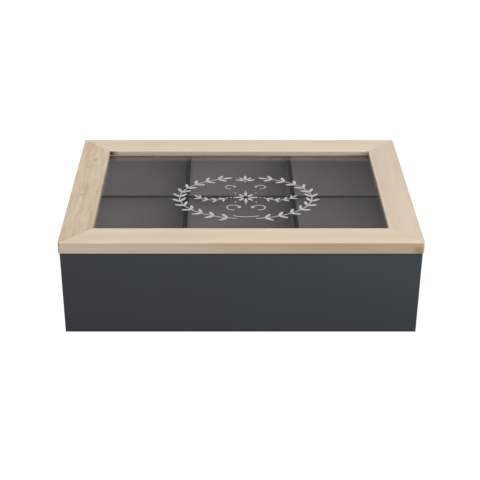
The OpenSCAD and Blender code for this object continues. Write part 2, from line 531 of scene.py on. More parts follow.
@dataclass(frozen=True)
class PaleSoftwood(Finish):
    """Plain-sawn pale softwood, planed, sanded and left bare.

    The eye reads soft growth-ring bands that wander along the rail, fine fibres, darker
    resin streaks and a few pin knots, on a dry matt surface. A painted highlight pales the
    upper inner edges, painted floor light greys the sawn face's lower edge, and a painted
    shadow darkens one mitre corner. The weights are those of the rings, the streaks, the
    fibres and the broad clouds. Across the grain, face is the place of the sawn side, which
    flank tints from end to end, and edge that of the highlighted one.
    """

    name: str
    light: str
    dark: str
    seed: float
    pith: Pair
    weights: tuple[float, float, float, float]
    face: float
    edge: float | None
    flank: tuple[str, str] = ("#f2e8dc", "#f2e8dc")
    across_grain: bool = False
    near_tone: float = 1.0
    knots: tuple[Knot, ...] = ()
    ring: float = 4.4 * MM
    ring_stretch: float = 50.0
    swerve: float = 9 * MM
    streak: Pair = (2.2 * MM, 34 * MM)
    cloud: Pair = (14 * MM, 90 * MM)
    wander: Pair = (30 * MM, 110 * MM)
    # Real fibres are about 0.05 mm wide, too fine to show, so they are drawn this coarse.
    fibre: Pair = (0.45 * MM, 22 * MM)
    near_end: Pair = (-86 * MM, -50 * MM)
    half_length: float = 120 * MM
    face_fade: Pair = (0.05 * MM, 0.3 * MM)
    # Painted floor light on the sawn face's lower edge: the heights it fades over, and the saturation and
    # value it leaves.
    worn_z: Pair = (62 * MM, 63.6 * MM)
    worn_saturation: float = 0.55
    worn_value: float = 0.95
    # A painted highlight along the lip's upper inner edge: its colour, fade, lowest height and strength.
    sanded: str = "#e8dfd5"
    sanded_fade: Pair = (0.2 * MM, 0.9 * MM)
    sanded_z: float = 67.8 * MM
    sanded_most: float = 0.8
    knot_stretch: float = 2.0
    knot_fade: Pair = (0.3, 2.0)
    grades: Pair = (0.3, 0.72)
    sheen: Pair = (0.6, 0.75)
    relief: float = 0.05 * MM

    def surface(self, add: Add) -> Socket:
        """Builds the shader.

        Args:
            add: Adds a node to the material's tree.

        Returns:
            The shader's output.
        """
        turn = math.radians(-90 if self.across_grain else 0)
        place = add("TexCoord", out="Object")
        grain = add("Mapping", {"Vector": place, "Rotation": (0, 0, turn)})
        fibre = self._noise(add, grain, self.fibre)
        layers = (
            self._rings(add, grain),
            self._noise(add, grain, self.streak, 3),
            fibre,
            self._noise(add, grain, self.cloud),
        )
        tone = 0.5 - sum(self.weights) / 2
        for layer, weight in zip(layers, self.weights):
            tone = add("Math", (layer, weight, tone), operation="MULTIPLY_ADD")
        colour = stops(add("ValToRGB", (tone,)), *zip(self.grades, (self.light, self.dark)))
        along = add("SeparateXYZ", (grain,))
        near = add("MapRange", (along, *self.near_end, self.near_tone, 1.0))
        colour = add("VectorMath", {0: colour, "Scale": near}, operation="SCALE")
        colour = self._sides(add, grain, colour)
        for knot in self.knots:
            colour = self._knot(add, grain, colour, knot)
        inputs = {
            "Base Color": colour,
            "Roughness": add("MapRange", (fibre, 0.0, 1.0, *self.sheen)),
            "IOR": 1.45,
            "Normal": add("Bump", {"Height": tone, "Distance": self.relief, "Strength": 0.6}),
        }
        return add("BsdfPrincipled", inputs)

    def _noise(self, add: Add, grain: Socket, size: Pair, detail: float = 2) -> Socket:
        """Makes noise drawn out along the grain.

        Args:
            add: Adds a node to the material's tree.
            grain: Coordinates with the grain along X.
            size: The size of a streak across and along the grain.
            detail: The noise's levels of detail.

        Returns:
            The noise, about 0.5.
        """
        width, length = size
        start, scale = (self.seed * 3, self.seed * 7, self.seed * 5), (1 / length, 1 / width, 1 / width)
        drawn = add("Mapping", {"Vector": grain, "Location": start, "Scale": scale})
        return add("TexNoise", {"Vector": drawn, "Scale": 1.0, "Detail": detail})

    def _rings(self, add: Add, grain: Socket) -> Socket:
        """Draws growth rings about a wandering pith, with a soft rise to the dark late wood.

        Args:
            add: Adds a node to the material's tree.
            grain: Coordinates with the grain along X.

        Returns:
            The rings, 1 in the late wood.
        """
        wander = self._noise(add, grain, self.wander)
        aside = add("MapRange", (wander, 0.0, 1.0, -self.swerve, self.swerve))
        moved_grain = add("VectorMath", (grain, add("CombineXYZ", {1: aside})), operation="ADD")
        about = {"Location": (0, -self.pith[0], -self.pith[1]), "Scale": (1 / self.ring_stretch, 1, 1)}
        centred = add("Mapping", {"Vector": moved_grain, **about})
        shape = {"wave_type": "RINGS", "rings_direction": "X", "wave_profile": "SAW"}
        inputs = {"Vector": centred, "Scale": WAVE_PERIOD / self.ring, "Distortion": 0.0}
        wave = add("TexWave", inputs, "Fac", **shape)
        late = ((0.0, "#000000"), (0.55, "#606060"), (0.82, "#ffffff"), (1.0, "#000000"))
        return stops(add("ValToRGB", (wave,)), *late)

    def _sides(self, add: Add, grain: Socket, colour: Socket) -> Socket:
        """Tints the rail's sawn face, greys its lower edge with painted floor light and pales the upper inner
        edge with a painted highlight.

        Args:
            add: Adds a node to the material's tree.
            grain: Coordinates with the grain along X.
            colour: The colour so far.

        Returns:
            The colour with its sides.
        """
        along, across, height = add("SeparateXYZ", (grain,)).node.outputs
        share = add("MapRange", (along, -self.half_length, self.half_length))
        tint = stops(add("ValToRGB", (share,)), (0.1, self.flank[0]), (0.75, self.flank[1]))
        mask = beside(add, across, self.face, self.face_fade)
        flank = {0: mask, "A": colour, "B": tint}
        colour = add("Mix", flank, "Result", data_type="RGBA", blend_type="MULTIPLY")
        # Painted floor light: the lowest part of the sawn face is greyed.
        low = add("MapRange", (height, *self.worn_z, 1.0, 0.0))
        floor_light = add("Math", (mask, low), operation="MULTIPLY")
        floor_light_tint = {"Saturation": self.worn_saturation, "Value": self.worn_value}
        colour = add("HueSaturation", {**floor_light_tint, "Fac": floor_light, "Color": colour})
        if self.edge is None:
            return colour
        # Painted highlight along the upper inner edge.
        close = beside(add, across, self.edge, self.sanded_fade, self.sanded_most)
        high = add("Math", (height, self.sanded_z), operation="GREATER_THAN")
        mask = add("Math", (close, high), operation="MULTIPLY")
        return add("Mix", {0: mask, "A": colour, "B": linear(self.sanded)}, "Result", data_type="RGBA")

    def _knot(self, add: Add, grain: Socket, colour: Socket, knot: Knot) -> Socket:
        """Darkens a small oval, drawn out a little along the grain.

        Args:
            add: Adds a node to the material's tree.
            grain: Coordinates with the grain along X.
            colour: The colour so far.
            knot: The knot.

        Returns:
            The colour with its knot.
        """
        start = (-knot.along / self.knot_stretch, -knot.across, 0)
        about = add("Mapping", {"Vector": grain, "Location": start, "Scale": (1 / self.knot_stretch, 1, 0)})
        far = add("VectorMath", (about,), "Value", operation="LENGTH")
        fade = (share * knot.radius for share in self.knot_fade)
        oval = add("MapRange", (far, *fade, knot.strength, 0.0))
        height = add("SeparateXYZ", (grain,), "Z")
        low = add("MapRange", (height, knot.below - MM, knot.below, 1.0, 0.0))
        mask = add("Math", (oval, low), operation="MULTIPLY")
        return add("Mix", {0: mask, "A": colour, "B": linear(knot.tone)}, "Result", data_type="RGBA")


@dataclass(frozen=True)
class SprayedPaint(Finish):
    """Water-based matt paint sprayed on fibreboard.

    The eye reads a dense, even slate grey with a fine orange-peel skin. Inside the box
    the coat is a thinner one, with painted light that makes it paler low down, for the bounce
    off the base, and at the right-hand end, against the right rail's shadow; the dividers'
    cut top edges drink the paint and dry darker. Outside, painted shade darkens the coat
    towards the foot, with a painted contact shadow along it, and lays a warm painted shadow
    along the brink under the lid.
    """

    name: str = "sprayed_slate_paint"
    inside: str = "#605d5e"
    # Painted light: the inside colour low down, paler for the bounce off the base.
    inside_low: str = "#c2bdbf"
    all_inside: bool = False
    gloss: float = 0.3
    # Painted shade in the outside colours at the foot, low down, high up and at the brink: a contact shadow
    # at the foot, a darker low band and a warm shadow under the lid.
    outside: tuple[str, str, str, str] = ("#212527", "#2f3437", "#373c40", "#373631")
    cut_edge: str = "#0e0e0f"
    roughness: float = 0.68
    uneven: float = 0.04
    peel: float = 1.6 * MM
    relief: float = 0.02 * MM
    clouds: float = 45 * MM
    cloud_shade: Pair = (0.95, 1.05)
    inner_half: Pair = (113.35 * MM, 77.8 * MM)
    floor: float = 2.9 * MM
    inner_z: Pair = (3 * MM, 60.3 * MM)
    cut_z: float = 60 * MM
    top: float = 60.7 * MM
    # Painted light: the inside grows paler over this span towards the right-hand end, against the right
    # rail's shadow.
    pale_end: Pair = (88 * MM, 112 * MM)
    pale_gain: float = 1.5

    def surface(self, add: Add) -> Socket:
        """Builds the shader.

        Args:
            add: Adds a node to the material's tree.

        Returns:
            The shader's output.
        """
        place = add("TexCoord", out="Object")
        along, _, height = add("SeparateXYZ", (place,)).node.outputs
        peel = add("TexNoise", {"Vector": place, "Scale": 1 / self.peel, "Detail": 2.0})
        clouds = add("TexNoise", {"Vector": place, "Scale": 1 / self.clouds, "Detail": 3.0})
        # Painted light: paler low down for the bounce off the base, and paler at the right-hand end.
        lower = add("MapRange", (height, *self.inner_z, 1.0, 0.0))
        tones = {"A": linear(self.inside), "B": linear(self.inside_low)}
        inner = add("Mix", {0: lower, **tones}, "Result", data_type="RGBA")
        thin = add("MapRange", (along, *self.pale_end, 1.0, self.pale_gain))
        inner = add("VectorMath", {0: inner, "Scale": thin}, operation="SCALE")
        if self.all_inside:
            mask = add("Math", (height, self.cut_z), operation="GREATER_THAN")
            sides = {"A": inner, "B": linear(self.cut_edge)}
        else:
            above = add("Math", (height, self.floor), operation="GREATER_THAN")
            mask = add("Math", (within(add, place, self.inner_half), above), operation="MULTIPLY")
            sides = {"A": self._outer(add, height), "B": inner}
        colour = add("Mix", {0: mask, **sides}, "Result", data_type="RGBA")
        shade = add("MapRange", (clouds, 0.3, 0.7, *self.cloud_shade))
        rough = (self.roughness - self.uneven, self.roughness + self.uneven)
        inputs = {
            "Base Color": add("VectorMath", {0: colour, "Scale": shade}, operation="SCALE"),
            "Roughness": add("MapRange", (clouds, 0.0, 1.0, *rough)),
            "IOR": 1.5,
            "Specular IOR Level": self.gloss,
            "Normal": add("Bump", {"Height": peel, "Distance": self.relief, "Strength": 0.6}),
        }
        return add("BsdfPrincipled", inputs)

    def _outer(self, add: Add, height: Socket) -> Socket:
        """Paints shade on the outside and leaves the rim's top face plain.

        The shade is a contact shadow at the foot, a darker low band and a warm shadow along the brink.

        Args:
            add: Adds a node to the material's tree.
            height: Height above the floor.

        Returns:
            The colour outside.
        """
        rise = add("MapRange", (height, 0.0, self.top))
        # Painted shade: the foot's contact shadow, the darker low band and the warm shadow under the lid.
        foot, low, high, brink = self.outside
        painted_brim_shadow = ((0.97, high), (0.984, brink), (0.998, brink), (1.0, high))
        return stops(add("ValToRGB", (rise,)), (0.012, foot), (0.022, low), (0.9, high), *painted_brim_shadow)


@dataclass(frozen=True)
class FloatGlass(Finish):
    """Clear float glass. Lamps shine straight through it, so that it lights what it covers."""

    name: str = "clear_float_glass"
    tint: str = "#f9faf9"
    clear: str = "#f9f9f9"

    def surface(self, add: Add) -> Socket:
        """Builds the shader.

        Args:
            add: Adds a node to the material's tree.

        Returns:
            The shader's output.
        """
        body = {"Base Color": linear(self.tint), "Roughness": 0.0, "IOR": 1.52, "Transmission Weight": 1.0}
        path = add("LightPath").node.outputs
        lamps = add("Math", (path["Is Shadow Ray"], path["Is Diffuse Ray"]), operation="MAXIMUM")
        clear = add("BsdfTransparent", (linear(self.clear),))
        return add("MixShader", (lamps, add("BsdfPrincipled", body), clear))


@dataclass(frozen=True)
class ScreenInk(Finish):
    """Screen-printed enamel ink: a thin, flat, chalky white film that lies a little uneven."""

    name: str = "screen_printed_ink"
    colour: str = "#bcbab8"
    thin: str = "#979593"
    # The screen's mesh leaves marks about 0.1 mm wide, too fine to show, so they are drawn this coarse.
    mottle: float = 1.8 * MM
    grades: Pair = (0.3, 0.55)
    roughness: float = 0.6

    def surface(self, add: Add) -> Socket:
        """Builds the shader.

        Args:
            add: Adds a node to the material's tree.

        Returns:
            The shader's output.
        """
        place = add("TexCoord", out="Object")
        mottle = add("TexNoise", {"Vector": place, "Scale": 1 / self.mottle, "Detail": 4.0})
        colour = stops(add("ValToRGB", (mottle,)), *zip(self.grades, (self.thin, self.colour)))
        return add("BsdfPrincipled", {"Base Color": colour, "Roughness": self.roughness, "IOR": 1.5})


@dataclass(frozen=True)
class PlatedSteel(Finish):
    """Plated pressed steel: a grey metal with the fine draw marks of rolling under the plate."""

    name: str
    colour: str
    dull: str
    roughness: float
    # Real draw marks are about 0.02 mm wide, too fine to show, so they are drawn this coarse.
    mark: tuple[float, float, float] = (6 * MM, 0.25 * MM, 0.25 * MM)
    cloud: float = 4 * MM
    grades: Pair = (0.25, 0.65)
    duller: Pair = (-0.06, 0.1)
    relief: float = 0.01 * MM

    def surface(self, add: Add) -> Socket:
        """Builds the shader.

        Args:
            add: Adds a node to the material's tree.

        Returns:
            The shader's output.
        """
        place = add("TexCoord", out="Object")
        drawn = add("Mapping", {"Vector": place, "Scale": tuple(1 / size for size in self.mark)})
        marks = add("TexNoise", {"Vector": drawn, "Scale": 1.0, "Detail": 3.0})
        clouds = add("TexNoise", {"Vector": place, "Scale": 1 / self.cloud, "Detail": 2.0})
        rough = (self.roughness + more for more in self.duller)
        inputs = {
            "Base Color": stops(add("ValToRGB", (marks,)), *zip(self.grades, (self.dull, self.colour))),
            "Metallic": 1.0,
            "Roughness": add("MapRange", (clouds, 0.3, 0.7, *rough)),
            "Normal": add("Bump", {"Height": marks, "Distance": self.relief, "Strength": 0.4}),
        }
        return add("BsdfPrincipled", inputs)


def shown_rays(add: Add) -> Socket:
    """Marks the rays that show a background: straight, mirrored and through glass.

    Args:
        add: Adds a node to the tree.

    Returns:
        The mask.
    """
    path = add("LightPath").node.outputs
    mirrored = add("Math", (path["Is Camera Ray"], path["Is Glossy Ray"]), operation="MAXIMUM")
    return add("Math", (mirrored, path["Is Transmission Ray"]), operation="MAXIMUM")


@dataclass(frozen=True)
class WhiteSweep(Finish):
    """A paper sweep that shows as white, with a faint shadow of the object on it.

    Its glow stops at the box's footprint, so that the floor under the box stays dark.
    """

    name: str = "white_sweep"
    paper: str = "#8c8c8c"
    shadow: float = 0.14
    glow: float = 0.92
    footprint: Pair = (119.2 * MM, 83.65 * MM)

    def surface(self, add: Add) -> Socket:
        """Builds the shader.

        Args:
            add: Adds a node to the material's tree.

        Returns:
            The shader's output.
        """
        covered = within(add, add("TexCoord", out="Object"), self.footprint)
        strength = add("Math", (covered, -self.glow, self.glow), operation="MULTIPLY_ADD")
        faint = add("BsdfDiffuse", ((self.shadow, self.shadow, self.shadow, 1),))
        seen = add("AddShader", (faint, add("Emission", (WHITE, strength))))
        return add("MixShader", (shown_rays(add), add("BsdfDiffuse", (linear(self.paper),)), seen))


@dataclass(frozen=True)
class GreyFlag(Finish):
    """A grey cloth flag that glows evenly, so that the glass mirrors a dim, plain grey."""

    name: str = "grey_flag"
    cloth: str = "#6a6a6a"

    def surface(self, add: Add) -> Socket:
        """Builds the shader."""
        return add("Emission", (linear(self.cloth), 1.0))


# ---- the hinges


@dataclass
class Hinges:
    """Two small butt hinges of pressed steel, let into the rear wall and the lid.

    A hinge is modelled about its pin at the origin, along X, with its leaf for the box
    below the pin and reaching towards -Y. The lid's half is the same, turned over.
    """

    length: float = 20 * MM
    leaf_t: float = 0.8 * MM
    leaf_ease: float = 0.07 * MM
    inner_edge: float = -4.8 * MM
    corner_r: float = 1 * MM
    corner_steps: int = 6
    half_gap: float = 0.15 * MM
    pin_r: float = 0.8 * MM
    pin_proud: float = 0.02 * MM
    bore_r: float = 0.85 * MM
    end_gap: float = 0.3 * MM
    fit: float = 0.1 * MM
    head_t: float = 0.5 * MM
    peen: tuple[Pair, ...] = ((0.0, 1.0), (0.3, 1.0), (0.4, 0.82), (0.2, 0.5))
    roll: float = 315.0
    roll_steps: int = 30
    screw_r: float = 0.8 * MM
    screw_head_r: float = 1.2 * MM
    screw_l: float = 5.5 * MM
    screw_sides: int = 28
    screw_point: float = 0.25
    screw_x: float = 6 * MM
    screw_fit: float = 0.05 * MM
    screw_ease: float = 0.04 * MM
    screw_turns: tuple[float, ...] = (0.4, 1.3, 1.7, 2.6)
    wing_t: float = 0.4 * MM
    wing_taper: Pair = (0.45, 0.6)
    places: dict[str, Vector] = field(default_factory=dict)

    def __post_init__(self) -> None:
        """Takes the pins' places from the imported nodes."""
        for side in ("left", "right"):
            low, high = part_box(f"hinge_pin_{side}")
            self.places[side] = (low + high) / 2

    @property
    def knuckle_r(self) -> float:
        """Outer radius of the barrel."""
        return self.bore_r + self.leaf_t

    @property
    def clear(self) -> float:
        """How far from the pin a leaf's edge stops beside the other leaf's knuckles."""
        return self.knuckle_r + self.end_gap

    @property
    def screw_places(self) -> tuple[Vector, Vector]:
        """The middles of the screws' heads, midway over the leaf's narrower part."""
        across = (self.inner_edge - self.clear) / 2
        return tuple(Vector((x, across, -self.half_gap)) for x in (-self.screw_x, self.screw_x))

    @property
    def spans(self) -> tuple[Pair, Pair, Pair]:
        """The three knuckles' ends along the pin.

        Returns:
            Left, middle and right.
        """
        third = (self.length - 2 * self.end_gap) / 3
        half = self.length / 2
        return ((-half, -half + third), (-third / 2, third / 2), (half - third, half))

    def half(self, side: str, body: Body) -> Matrix:
        """Where the box's or the lid's half of a hinge goes."""
        turn = math.pi if body is Body.LID else 0.0
        return Matrix.Translation(self.places[side]) @ Matrix.Rotation(turn, 4, "Y")

    def build(self) -> None:
        """Models and dresses both hinges and their screws."""
        plate = PlatedSteel("nickel_plated_steel", "#c9c4ba", "#a9a49b", 0.3).material()
        zinc = PlatedSteel("zinc_plated_steel", "#bfc2c6", "#9b9ea2", 0.36).material()
        left, middle, right = self.spans
        shapes = (
            ("hinge_body_leaf_{}", "pressed", Body.BOX, self._leaf((left, right))),
            ("hinge_lid_leaf_{}", "pressed", Body.LID, self._leaf((middle,))),
            ("hinge_pin_{}", "peened", Body.BOX, self._pin()),
        )
        for side, (node, work, body, shape) in product(self.places, shapes):
            name = node.format(side)
            piece = twin(shape, f"{name}_{work}", self.half(side, body))
            dress(piece, plate, body, Slot.HINGE, [name])
        for *_, shape in shapes:
            bpy.data.objects.remove(shape)
        for body in Body:
            name = f"{body.value}_leaf_screws"
            dress(self._screw_set(name + "_countersunk", body), zinc, body, Slot.FASTENER, [name])

    def _corners(self, plate: Object, inner: float) -> None:
        """Rounds a plate's two upright edges at its inner end."""
        ease(plate, self.corner_r, self.corner_steps, lambda e: lies(e, y=inner) and upright(e))

    def _leaf(self, own: Sequence[Pair]) -> Object:
        """Models the box's leaf: a plate whose own knuckles are rolled from its rear edge.

        Args:
            own: The spans along the pin that have a knuckle.

        Returns:
            The leaf about the pin.
        """
        top, bottom = -self.half_gap, -self.half_gap - self.leaf_t
        half = self.length / 2
        leaf = block("leaf", (-half, self.inner_edge, bottom), (half, -self.clear, top))
        self._corners(leaf, self.inner_edge)
        for x in sorted({x for span in own for x in span if abs(x) < half - NEAR}):
            bisect(leaf, (x, 0, 0), (1, 0, 0), trim=False)

        def rolled(face: Face) -> bool:
            """Says if a face is the root of one of this leaf's own knuckles."""
            middle = face.calc_center_median()
            return face.normal.y > LEANING and any(a < middle.x < b for a, b in own)

        outer_y = -math.sqrt(self.knuckle_r**2 - bottom**2)
        inner_y = -math.sqrt(self.bore_r**2 - top**2)
        push(leaf, (0, self.clear + outer_y, 0), rolled)
        with editing(leaf, lambda e: lies(e, y=outer_y, z=top), Pick.EDGE):
            bpy.ops.transform.translate(value=(0, inner_y - outer_y, 0))
        with editing(leaf, rolled):
            turn = -math.radians(self.roll)
            bpy.ops.mesh.spin(steps=self.roll_steps, angle=turn, center=(0, 0, 0), axis=(1, 0, 0))
        cut(weld(leaf), [self._screw("hole", self.screw_fit, head) for head in self.screw_places])
        return smooth(soften(leaf, self.leaf_ease))

    def _pin(self) -> Object:
        """Models the pin, with both of its ends peened to a low dome.

        Returns:
            The pin along X.
        """
        pin = rod("pin", self.pin_r, self.length + 2 * self.pin_proud)
        flange = (self.pin_r + self.knuckle_r) / 2
        for way in (-1, 1):

            def end(face: Face) -> bool:
                """Says if a face closes the pin's end on this side."""
                return face.normal.x * way > FACING and face.calc_center_median().x * way > 0

            with editing(pin, end):
                radius = self.pin_r
                for step, share in self.peen:
                    extrude(way * step * self.head_t, 0, 0)
                    grow = share * flange / radius
                    bpy.ops.transform.resize(value=(1, grow, grow), center_override=(0, 0, 0))
                    radius = share * flange
        return smooth(pin)

    def _screw(self, name: str, grow: float, head: Place) -> Object:
        """Models a countersunk screw, or the hole for one.

        Args:
            name: The object's name.
            grow: What a hole is wider by. A hole also reaches a little above the head.
            head: The middle of the head's face.

        Returns:
            The screw, its point down.
        """
        radii = {"radius1": self.screw_r + grow, "radius2": self.screw_head_r + grow}
        middle = Vector(head) - Vector((0, 0, self.leaf_t / 2))
        cone = {"vertices": self.screw_sides, "depth": self.leaf_t, "location": middle, **radii}
        screw = primitive(name, bpy.ops.mesh.primitive_cone_add, **cone)
        if grow:
            push(screw, (0, 0, self.half_gap), facing(z=1))
        tip = 2 * self.screw_r
        shank = self.screw_l - self.leaf_t - tip
        with editing(screw, facing(z=-1)):
            extrude(0, 0, -shank)
            extrude(0, 0, -tip - grow)
            bpy.ops.transform.resize(value=(self.screw_point, self.screw_point, 1), center_override=head)
        return screw

    def _screw_set(self, name: str, body: Body) -> Object:
        """Models one half's four screws, each with its cross recess turned its own way.

        Args:
            name: The piece's name.
            body: The body that they are driven into.

        Returns:
            The screws as one piece.
        """
        screws = []
        for (side, at), turn in zip(product(self.places, self.screw_places), self.screw_turns):
            screw = cut(self._screw("screw", 0.0, (0, 0, 0)), [self._wing(0), self._wing(math.pi / 2)])
            smooth(soften(screw, self.screw_ease))
            spot = Matrix.Translation(at) @ Matrix.Rotation(turn, 4, "Z")
            screws.append(moved(screw, self.half(side, body) @ spot))
        return join(name, screws)

    def _wing(self, turn: float) -> Object:
        """Models one blade of the cross recess, tapered downwards.

        Args:
            turn: Its turn about the screw.

        Returns:
            The blade, as a cutter.
        """
        half, deep = self.wing_t / 2, self.leaf_t / 2
        wing = block("wing", (-self.screw_r, -half, -deep), (self.screw_r, half, deep))
        with editing(wing, facing(z=-1)):
            bpy.ops.transform.resize(value=(*self.wing_taper, 1), center_override=(0, 0, 0))
        return moved(wing, Matrix.Rotation(turn, 4, "Z"))

    def room(self, body: Body) -> list[Object]:
        """Makes cutters for the leaves, the barrels and the screws in the wall or in the lid.

        Args:
            body: The body that they are cut in.

        Returns:
            The cutters, in place.
        """
        tools = []
        reach, inner = self.length / 2 + self.fit, self.inner_edge - self.fit
        for side in self.places:
            low, high = (-reach, inner, -self.half_gap - self.leaf_t), (reach, 0, self.half_gap)
            mortise = block("mortise", low, high)
            self._corners(mortise, inner)
            barrel = rod("barrel", self.clear, self.length + 2 * (self.head_t + self.end_gap))
            holes = [self._screw("hole", self.screw_fit, head) for head in self.screw_places]
            tools += [moved(tool, self.half(side, body)) for tool in (mortise, barrel, *holes)]
        return tools


# ---- the lid


@dataclass
class LidFrame:
    """Four mitred timber rails with a rebate below for the glass."""

    hinges: Hinges
    rail_w: float = 21 * MM
    rebate_w: float = 5 * MM
    corner_r: float = 1.4 * MM
    corner_steps: int = 4
    top_ease: float = 0.4 * MM
    fine_ease: float = 0.4 * MM
    lip_ease: float = 0.1 * MM
    joint_ease: float = 0.12 * MM
    slot_past: float = 0.2 * MM
    low: Vector = field(init=False)
    high: Vector = field(init=False)
    rebate_h: float = field(init=False)

    def __post_init__(self) -> None:
        """Takes the lid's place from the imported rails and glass."""
        boxes = [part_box(f"lid_{side.name.lower()}_rail") for side in Side]
        self.low = Vector([min(low[axis] for low, _ in boxes) for axis in range(3)])
        self.high = Vector([max(high[axis] for _, high in boxes) for axis in range(3)])
        self.rebate_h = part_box("glass_pane")[1].z - self.low.z

    def timbers(self) -> dict[Side, PaleSoftwood]:
        """Describes the four boards that the rails are sawn from.

        Returns:
            Their finishes, by side of the lid.
        """
        front, left, right = self.low.y, -self.low.x, -self.high.x
        front_lip, rear_lip = front + self.rail_w, self.high.y - self.rail_w
        right_lip = right + self.rail_w
        corner = Knot(116.5 * MM, front, 1.2 * MM, 66.6 * MM, "#8a6a50")
        speck = Knot(-99 * MM, front_lip, 0.5 * MM, 68 * MM, "#6a5540", 0.7)
        # Painted shadow in the rear-left mitre corner, over the joint's dark glue line.
        mitre_glue_and_shadow = Knot(-98.4 * MM, rear_lip, 1.5 * MM, 69 * MM, "#4c3220", 0.95)
        pins = (Knot(48 * MM, 108 * MM, 0.9 * MM), Knot(-12 * MM, 112 * MM, 0.6 * MM))
        curly = (2.6 * MM, 18 * MM)
        front_grain = (0.31, (-0.075, 0.03), (0.18, 0.25, 0.25, 0.3))
        right_grain = (0.77, (-0.11, 0.0), (0.15, 0.25, 0.2, 0.3))
        rear_grain = (1.13, (0.08, 0.03), (0.15, 0.25, 0.35, 0.4))
        left_grain = (1.9, (0.13, 0.03), (0.08, 0.6, 0.15, 0.6))
        sides = (
            (Side.FRONT, "#dccbb8", "#cdb79e", front_grain, front, front_lip),
            (Side.RIGHT, "#d6c8b5", "#c9b59f", right_grain, right, right_lip),
            (Side.REAR, "#dfcfbb", "#cfbba2", rear_grain, rear_lip, rear_lip),
            (Side.LEFT, "#d6c4ad", "#bca488", left_grain, left, None),
        )
        own = {
            Side.FRONT: {"flank": ("#fffbf8", "#d8cbbf"), "knots": (corner, speck)},
            Side.RIGHT: {"across_grain": True},
            Side.REAR: {"flank": ("#e9e3dc", "#e9e3dc"), "knots": (mitre_glue_and_shadow,)},
            Side.LEFT: {"across_grain": True, "streak": curly, "near_tone": 0.84, "knots": pins},
        }
        return {
            side: PaleSoftwood(f"softwood_{side.name.lower()}", light, dark, *grain, face, edge, **own[side])
            for side, light, dark, grain, face, edge in sides
        }

    def build(self) -> None:
        """Models and dresses the four rails."""
        for side, timber in self.timbers().items():
            node = f"lid_{side.name.lower()}_rail"
            rail = self._rail(node + "_softwood", side)
            cut(rail, [node_shape("glazing_points"), self._driven_fasteners()])
            if side is Side.REAR:
                cut(rail, self.hinges.room(Body.LID))
            dress(smooth(rail), timber.material(), Body.LID, Slot.TIMBER, [node])

    def _driven_fasteners(self) -> Object:
        """Copies the corner fasteners' shape, drawn a little below the lid so that it opens their slots.

        Returns:
            The cutter.
        """
        shape = node_shape("corner_fasteners")
        with editing(shape, facing(z=-1)):
            bpy.ops.transform.translate(value=(0, 0, -self.slot_past))
        return shape

    def _rail(self, name: str, side: Side) -> Object:
        """Models one rail along X with its outer face at y = 0, then turns it to its side.

        Args:
            name: The rail's name.
            side: The side of the lid that it goes to.

        Returns:
            The rail in its place.
        """
        span = self.high - self.low
        length, depth = (span.x, span.y) if side in (Side.FRONT, Side.REAR) else (span.y, span.x)
        rail = block(name, (0, 0, 0), (length, self.rail_w - self.rebate_w, span.z))
        bisect(rail, (0, 0, self.rebate_h), (0, 0, 1), trim=False)
        inward = (0, self.rebate_w, 0)
        push(rail, inward, lambda f: f.normal.y > FACING and f.calc_center_median().z > self.rebate_h)
        for corner_x, way in ((0.0, -1), (length, 1)):
            bisect(rail, (corner_x, 0, 0), (way, 1, 0))
            self._round_corner(rail, corner_x, way)
        self._ease_rail(rail, span.z)
        centre = (self.low + self.high) / 2
        place = Matrix.Translation((centre.x, centre.y, self.low.z))
        turn = Matrix.Rotation(side.value * math.pi / 2, 4, "Z")
        return moved(rail, place @ turn @ Matrix.Translation((-length / 2, -depth / 2, 0)))

    def _round_corner(self, rail: Object, corner_x: float, way: int) -> None:
        """Trims a mitred tip to half of the lid's rounded corner.

        Args:
            rail: The rail, along X.
            corner_x: The tip's place.
            way: The way that the tip points along X.
        """
        hub = Vector((corner_x - way * self.corner_r, self.corner_r, 0))
        for step in range(self.corner_steps):
            angle = math.radians(45 + 45 * (step + 0.5) / self.corner_steps)
            out = Vector((way * math.cos(angle), -math.sin(angle), 0))
            bisect(rail, hub + out * self.corner_r, out)

    def _ease_rail(self, rail: Object, top: float) -> None:
        """Rounds the long edges, and breaks the mitred ones by a hair.

        Args:
            rail: The rail, along X.
            top: The height of its top face.
        """

        def on_mitre(edge: Edge) -> bool:
            """Says if an edge borders a mitred end."""
            faces = (f.normal for f in edge.link_faces if f.normal.y > LEANING)
            return any(abs(abs(normal.x) - normal.y) < LIKE for normal in faces)

        def outside(edge: Edge) -> bool:
            """Says if an edge runs along the outer face or round a corner of the lid."""
            return all(v.co.y < self.corner_r for v in edge.verts) and not on_mitre(edge)

        ease(rail, self.top_ease, ROUNDED, lambda e: lies(e, z=top) and outside(e))
        ease(rail, self.fine_ease, EASED, lambda e: lies(e, z=0.0) and outside(e))
        ease(rail, self.fine_ease, EASED, lambda e: lies(e, z=top, y=self.rail_w))
        ease(rail, self.lip_ease, BROKEN, lambda e: lies(e, z=self.rebate_h, y=self.rail_w))
        ease(rail, self.joint_ease, BROKEN, lambda e: on_mitre(e) and e.calc_face_angle(0.0) > SHARP)


# ---- the glass


def toward(turn: float) -> Vector:
    """A unit vector in the XY plane, turned from +X."""
    return Vector((math.cos(turn), math.sin(turn), 0))


@dataclass(frozen=True)
class Arc:
    """Part of an ellipse on the glass, in metres, with the degrees that it runs between."""

    radii: Pair
    start: float
    end: float
    centre: Pair = (0.0, 0.0)
    step: float = 0.01

    def at(self, share: float) -> Vector:
        """The place a share of the way along."""
        out = toward(math.radians(self.start + share * (self.end - self.start)))
        return Vector((self.centre[0] + self.radii[0] * out.x, self.centre[1] + self.radii[1] * out.y, 0))

    def heading(self, share: float) -> float:
        """The way that the arc runs there, in radians."""
        ahead = self.at(share + self.step) - self.at(share - self.step)
        return math.atan2(ahead.y, ahead.x)


